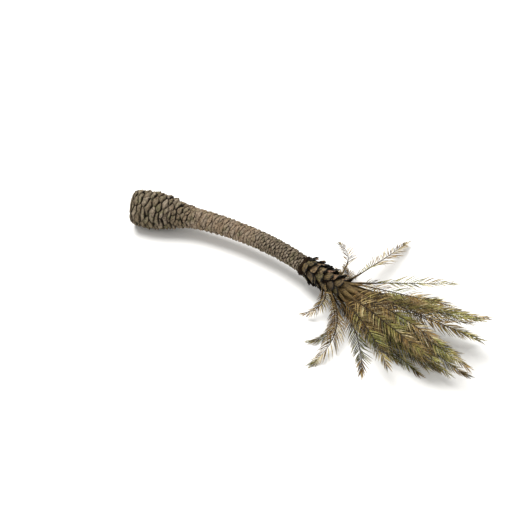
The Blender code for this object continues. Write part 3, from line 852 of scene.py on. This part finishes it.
leaflets = {
    "spacing": 0.046,  # metres between neighbours on one side
    "first": 0.15,  # share of the leaf's length where they begin
    "length": ((0.15, 0.16), (0.28, 0.30), (0.5, 0.345), (0.75, 0.30), (0.93, 0.21), (1.0, 0.17)),
    "sweep": ((0.15, 58.0), (0.4, 47.0), (0.75, 37.0), (1.0, 14.0)),  # degrees from the midrib
    "lift": ((0.15, 10.0), (0.6, 5.0), (1.0, 4.0)),  # degrees that both sides rise to a shallow V
    "width": ((0.0, 0.010), (0.15, 0.020), (0.4, 0.023), (0.7, 0.018), (0.9, 0.010), (1.0, 0.002)),
    "stations": 8,
    "fold": 24.0,  # degrees that each half is folded up
    "thickness": 0.0016,
    "fullLeaf": 2.0,
    "litLongSide": (0.894, 0.447, 0.0),  # leaflets on this side are longer, and painted paler as if lit
    "longSideGain": (0.88, 1.06),
    "missing": 0.04,
    # a leaflet's shade from dark to pale: the middle, then drift, painted light on the lit side, chance and
    # age of the leaf
    "tone": (0.44, 0.30, 0.26, 0.24, -0.06),
    "kinked": (0.04, 0.08),  # share of leaflets broken over, on young leaves and more on old
    "top": (1.10, 0.060),  # nothing rises more than this far past this height
    "seed": 77,
}


def ramp(value, span):
    return float(eased((value - span[0]) / (span[1] - span[0])))


def towards(pair, share):
    return pair[0] + (pair[1] - pair[0]) * share


def leafShape(number):
    # degrees round the head, place of the foot, length, opening at foot and tip, sag; None for a cut leaf
    youth = number / (fronds["count"] - 1)
    degrees = fronds["firstTurn"] + number * fronds["goldenAngle"]
    near, facing = math.sin(math.radians(degrees)), math.cos(math.radians(degrees))
    if facing > fronds["cutFacing"] and youth < fronds["cutUntil"]:
        return None
    top, under = max(facing, 0.0), max(-facing, 0.0)
    far = ramp(-near - fronds["underShift"] * under, fronds["farSide"])
    oldGain, youngGain, farLoss, topGain = (
        fronds[key] for key in ("oldGain", "youngGain", "farLoss", "topGain")
    )
    length = fronds["oldestLength"] + oldGain[0] * ramp(youth, oldGain[1])
    length += youngGain[0] * max(youth - youngGain[1], 0.0) / (1 - youngGain[1])
    length *= 1 - farLoss[0] * far * (1 - ramp(youth, farLoss[1]))
    length += topGain[0] * top * ramp(youth, topGain[1])
    uneven, cycle = fronds["uneven"]
    length *= 1 - uneven * math.cos(math.radians(cycle * (number - 1)))
    nearFoot = towards(fronds["nearFoot"], math.sqrt(youth))
    nearTip, farFoot, farTip = (
        towards(fronds[key][0], ramp(youth, fronds[key][1])) for key in ("nearTip", "farFoot", "farTip")
    )
    openTip = towards((towards((nearTip, farTip), far), fronds["pressedTip"]), ramp(under, fronds["under"]))
    openFoot = towards((nearFoot, farFoot), far)
    sag = fronds["sag"][0] + fronds["sag"][1] * top
    return degrees, towards(fronds["feet"], youth), length, openFoot, openTip, sag


def leafPath(degrees, start, length, openFoot, openTip, sag):
    base, ahead, outward, _ = roundTheHead(start, degrees)
    spot = base + (sheathRadius(start) + 0.0196) * outward
    points = [spot]
    step = length / fronds["steps"]
    for index in range(fronds["steps"]):
        share = (index + 0.5) / fronds["steps"]
        opening = math.radians(towards((openFoot, openTip), share ** fronds["openingPower"]))
        direction = math.cos(opening) * ahead + math.sin(opening) * outward
        direction = unit(direction - np.array([0, 0, sag * share]))
        if spot[2] + direction[2] * step < fronds["clearance"]:
            dip = min(max((fronds["clearance"] - spot[2]) / step, fronds["dip"][0]), fronds["dip"][1])
            flat = unit(np.array([direction[0], direction[1], 0]))
            direction = flat * math.sqrt(1 - dip * dip) + np.array([0, 0, dip])
        spot = spot + direction * step
        points.append(spot)
    return np.array(points), ahead, outward


def leafFrames(row):
    # point, along, side and face (the blade's normal, which turns level) at each step of a leaf
    points, ahead, outward = leafPath(*row)
    along = unit(np.gradient(points, axis=0))
    across = np.cross(ahead, outward)
    side = unit(across - dots(across[None], along) * along)
    face = np.cross(side, along)
    level = np.zeros_like(face)
    level[:, 2] = np.where(face[:, 2] >= -0.1, 1, -1)
    turn = (fronds["faceTurn"] * eased(np.linspace(0, 1, len(points)) / 0.5))[:, None]
    face = face * (1 - turn) + level * turn
    face = unit(face - dots(face, along) * along)
    return points, along, np.cross(along, face), face


def between(values, share):
    # rows of values at these shares of the leaf's length
    place = np.clip(share, 0, 1) * (len(values) - 1)
    index = np.minimum(place.astype(int), len(values) - 2)
    rest = (place - index)[:, None]
    return values[index] * (1 - rest) + values[index + 1] * rest


def addStalk(heap, row, frames):
    points, along, side, face = frames
    degrees, start, length = row[:3]
    lead = np.array(fronds["clasp"])
    # the base clasps the head: it starts sunk in the sleeve behind the leaf's foot
    before = []
    for back in lead:
        base, _, outward, _ = roundTheHead(start + back, degrees)
        before.append(base + (sheathRadius(start + back) + 0.012 + 0.03 * back) * outward)
    spots = np.concatenate([before, points])
    sides = np.concatenate([np.repeat(side[:1], len(lead), 0), side])
    faces = np.concatenate([np.repeat(face[:1], len(lead), 0), face])
    metres = np.concatenate([lead, np.linspace(0, 1, len(points)) * length])
    small = min(length / leaflets["fullLeaf"], 1.0) ** 0.5
    near = metres < fronds["stalkBase"][-1][0]
    stalk = [table(fronds["stalkBase"], metres, column) * near for column in (1, 2)]
    midrib = [table(fronds["midrib"], metres / length, column) for column in (1, 2)]
    width, thick = (small * np.maximum(*both) for both in zip(stalk, midrib))
    count = fronds["stalkSides"]
    angle = 2 * math.pi * (np.arange(count) + 0.5) / count
    flat = np.sign(np.cos(angle)) * np.abs(np.cos(angle)) ** 0.7
    deep = np.sin(angle) * np.where(np.sin(angle) > 0, 0.75, 1.25)
    gutter = (eased(1 - metres / 0.3) * 0.28)[:, None] * width[:, None] * flat[None, :] ** 2
    ring = width[:, None, None] / 2 * flat[None, :, None] * sides[:, None]
    ring = ring + (thick[:, None] / 2 * deep[None, :] - gutter)[..., None] * faces[:, None]
    body = spots[:, None] + ring
    body = body + (0.0018 * lumps(body, 0.03, 21))[..., None] * faces[:, None]
    body[..., 2] = np.maximum(body[..., 2], 0.001)
    share = np.repeat(np.clip(metres / length, 0, 1), count)
    heap.add(body, tubeFaces(len(spots), count), 0, along=share, tone=0, green=0, fold=0)


def addLeaflets(heap, row, frames, chance, age):
    points, along, side, face = frames
    length = row[2]
    size = min(length / leaflets["fullLeaf"], 1.0) ** 0.6
    litLongSide = np.array(leaflets["litLongSide"])
    frondTone, frondGreen = chance.normal(0, 0.07), chance.uniform(-0.25, 0.25)
    down = np.array([0, 0, 1.0])
    for hand in (1, -1):
        reach = 1 - leaflets["first"]
        count = int(length * reach / (leaflets["spacing"] * (0.6 + 0.4 * size)))
        turn = np.arange(count) + 0.5 * (hand > 0) + chance.uniform(-0.2, 0.2, count)
        share = leaflets["first"] + turn / count * reach
        share = np.clip(share[chance.uniform(0, 1, count) > leaflets["missing"]], leaflets["first"], 0.999)
        count = len(share)
        ahead = unit(between(along, share))
        out = unit(between(side, share) * hand)
        normal = unit(between(face, share))
        low, high = leaflets["longSideGain"]
        litSideShare = (1 + dots(out, litLongSide)[:, 0]) / 2
        gain = size * (low + (high - low) * litSideShare) * chance.uniform(0.88, 1.08, count)
        span = table(leaflets["length"], share) * gain
        sweep = np.radians(table(leaflets["sweep"], share) + chance.normal(0, 3.2, count))[:, None]
        lift = table(leaflets["lift"], share) * (1 - 0.5 * age) + chance.normal(0, 5, count)
        lift = np.radians(lift)[:, None]
        flat = np.cos(sweep) * ahead + np.sin(sweep) * out
        direction = unit(np.cos(lift) * flat + np.sin(lift) * normal)
        halfRib = table(fronds["midrib"], share)[:, None] * 0.38
        spot = between(points, share) + out * halfRib + normal * 0.002
        droop = (chance.gamma(2.0, 0.085, count) * (1 + 1.2 * age))[:, None]
        forward = chance.uniform(0.10, 0.35, count)[:, None]
        twist = chance.normal(0, 0.28, count)[:, None]
        young, old = leaflets["kinked"]
        kinked = chance.uniform(0, 1, count) < young + old * age
        kink = np.where(kinked, chance.uniform(0.6, 1.4, count), 0.0)[:, None]
        middle, drift, sidePaintedLight, random, aged = leaflets["tone"]
        # painted light: leaflets facing the lit side are painted paler
        tone = middle + frondTone + drift * lumps(spot, 0.22, 71) + sidePaintedLight * (litSideShare - 0.5)
        tone = tone + chance.normal(0, random, count) + aged * age
        green = 0.52 + frondGreen + 0.95 * lumps(spot, 0.30, 72) - 0.5 * age
        green = eased(green + chance.normal(0, 0.12, count))
        rings = []
        for index in range(leaflets["stations"] + 1):
            t = index / leaflets["stations"]
            flatNormal = unit(normal - dots(normal, direction) * direction)
            up = unit(flatNormal * np.cos(twist * t) + np.cross(direction, flatNormal) * np.sin(twist * t))
            across = np.cross(direction, up)
            half = (table(leaflets["width"], t) * 0.5 * np.sqrt(gain))[:, None]
            fold = math.radians(leaflets["fold"] + 22 * t)
            spread, raised = across * half * math.cos(fold), up * half * math.sin(fold)
            thick = up * leaflets["thickness"] * (1.15 - t) * 0.5
            section = [spot - spread + raised, spot + thick, spot + spread + raised, spot - thick * 1.6]
            rings.append(np.stack(section, 1))
            step = (span / leaflets["stations"])[:, None]
            bend = direction + (forward * ahead - down * droop * (0.4 + 1.2 * t)) / leaflets["stations"]
            bend = unit(bend - down * kink * (index == leaflets["stations"] // 2))
            level = bend.copy()
            level[:, 2:] = np.maximum((0.006 - spot[:, 2:]) / step, -0.5)
            direction = np.where(spot[:, 2:] + bend[:, 2:] * step < 0.006, unit(level), bend)
            spot = spot + direction * step
        body = np.stack(rings, 1)
        top, most = leaflets["top"]
        rise = body[..., 2]
        rise = np.where(rise > top, top + most * np.tanh((rise - top) / most), rise)
        body[..., 2] = np.maximum(rise, 0.0012)
        corners = (leaflets["stations"] + 1) * 4
        every = np.array(tubeFaces(leaflets["stations"] + 1, 4))
        faces = (np.arange(count)[:, None, None] * corners + every[None]).reshape(-1, 4).tolist()
        shape = body.shape[:3]
        stations = np.linspace(0, 1, leaflets["stations"] + 1)
        heap.add(
            body,
            faces,
            1,
            along=np.broadcast_to(stations[None, :, None], shape),
            tone=np.broadcast_to(np.clip(tone, 0, 1)[:, None, None], shape),
            green=np.broadcast_to(green[:, None, None], shape),
            # painted shade: the middle line of each leaflet, along its fold, is marked for darkening
            fold=np.broadcast_to(np.array([0.0, 1.0, 0.0, 0.8])[None, None, :], shape),
        )


def buildLeaves():
    chance = np.random.default_rng(leaflets["seed"])
    spiral = {f"frond{number + 1:02d}": number for number in range(fronds["count"])}
    inner = np.arange(*fronds["inner"])
    spiral.update({f"innerLeaf{index:02d}": number for index, number in enumerate(inner, 1)})
    for name, number in spiral.items():
        row = leafShape(number)
        if row is None:
            continue
        frames = leafFrames(row)
        heap = meshHeap()
        addStalk(heap, row, frames)
        addLeaflets(heap, row, frames, chance, float(1 - eased((row[1] - 4.6) / 0.5)))
        node = name.replace("frond", "frond_")  # a leaf whose stalk had no room has no solid of this name
        nodes = [node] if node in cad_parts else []
        heap.make(name, [stalkFinish, leafletFinish], nodes=nodes, slot="dry_leaf")


spear = {
    "length": 1.45,
    "profile": ((0.0, 0.036), (0.12, 0.040), (0.6, 0.026), (1.0, 0.004)),  # share of its length, radius
    "rise": 0.06,
    "pleats": 11,
    "rows": 40,
}


def buildSpear():
    # the youngest leaf is still folded into pleats
    tip = palm["trunkLength"] + palm["headLength"]
    base, ahead, over, near = (value[0] for value in axisFrames([tip]))
    rows, columns = spear["rows"], spear["pleats"] * 4
    share = np.linspace(0, 1, rows)
    turn = 2 * math.pi * np.arange(columns) / columns
    pleat = 0.5 + 0.5 * np.cos(spear["pleats"] * turn[None, :] + 1.3 * share[:, None])
    radius = table(spear["profile"], share)[:, None] * (0.80 + 0.26 * pleat)
    out = np.cos(turn)[None, :, None] * over + np.sin(turn)[None, :, None] * near
    middle = base + (share * spear["length"])[:, None] * ahead + (spear["rise"] * share**2)[:, None] * over
    heap = meshHeap()
    tone = np.tile(0.45 + 0.3 * (turn % 1), rows)
    surface = middle[:, None] + radius[..., None] * out
    along = np.repeat(share * 0.6, columns)
    # painted shade: the pleat valleys are marked for darkening
    heap.add(surface, tubeFaces(rows, columns), along=along, tone=tone, green=0.6, fold=1 - pleat)
    heap.make("spearLeaf", [leafletFinish], nodes=["spear_leaf"], slot="dry_leaf")


buildLeaves()
buildSpear()
print("leaves built")

stage = {
    "ground": "#F0EFEC",
    "size": 120.0,
    "sky": 0.78,
    "keyStrength": 3.3,
    "keyFrom": (-0.40, 0.10, 0.91),  # where the soft key light stands
    "keyAngle": 36.0,
}


def buildStage():
    mesh = bpy.data.meshes.new("ground")
    half = stage["size"] / 2
    corners = [(-half, -half, 0), (half, -half, 0), (half, half, 0), (-half, half, 0)]
    mesh.from_pydata(corners, [], [(0, 1, 2, 3)])
    finish, tree, shader = newFinish("paleStudioFloor", roughness=0.9, ior=1.5, specular=0.1)
    shader.inputs["Base Color"].default_value = linear(stage["ground"])
    mesh.materials.append(finish)
    ground = bpy.data.objects.new("ground", mesh)
    ground.location.z = -0.001
    bpy.context.scene.collection.objects.link(ground)
    world = bpy.data.worlds.new("softSky")
    world.use_nodes = True
    world.node_tree.nodes["Background"].inputs["Color"].default_value = (1, 1, 1, 1)
    world.node_tree.nodes["Background"].inputs["Strength"].default_value = stage["sky"]
    bpy.context.scene.world = world
    lamp = bpy.data.lights.new("softKey", "SUN")
    lamp.energy = stage["keyStrength"]
    lamp.angle = math.radians(stage["keyAngle"])
    key = bpy.data.objects.new("softKey", lamp)
    key.rotation_euler = Vector(stage["keyFrom"]).to_track_quat("Z", "Y").to_euler()
    bpy.context.scene.collection.objects.link(key)
    bpy.context.scene.view_settings.view_transform = "Standard"


view = {"azimuth": 30.0, "elevation": 42.0, "distance": 24.18, "lens": 85.0, "target": (-1.011, -0.117, 0.3)}


def buildCamera():
    a, e = math.radians(view["azimuth"]), math.radians(view["elevation"])
    back = Vector((math.sin(a) * math.cos(e), -math.cos(a) * math.cos(e), math.sin(e)))
    lens = bpy.data.cameras.new("camera")
    lens.lens = view["lens"]
    lens.clip_end = 200
    camera = bpy.data.objects.new("camera", lens)
    camera.location = Vector(view["target"]) + view["distance"] * back
    camera.rotation_euler = back.to_track_quat("Z", "Y").to_euler()
    bpy.context.scene.collection.objects.link(camera)
    bpy.context.scene.camera = camera


buildStage()
buildCamera()

print("scene ready")
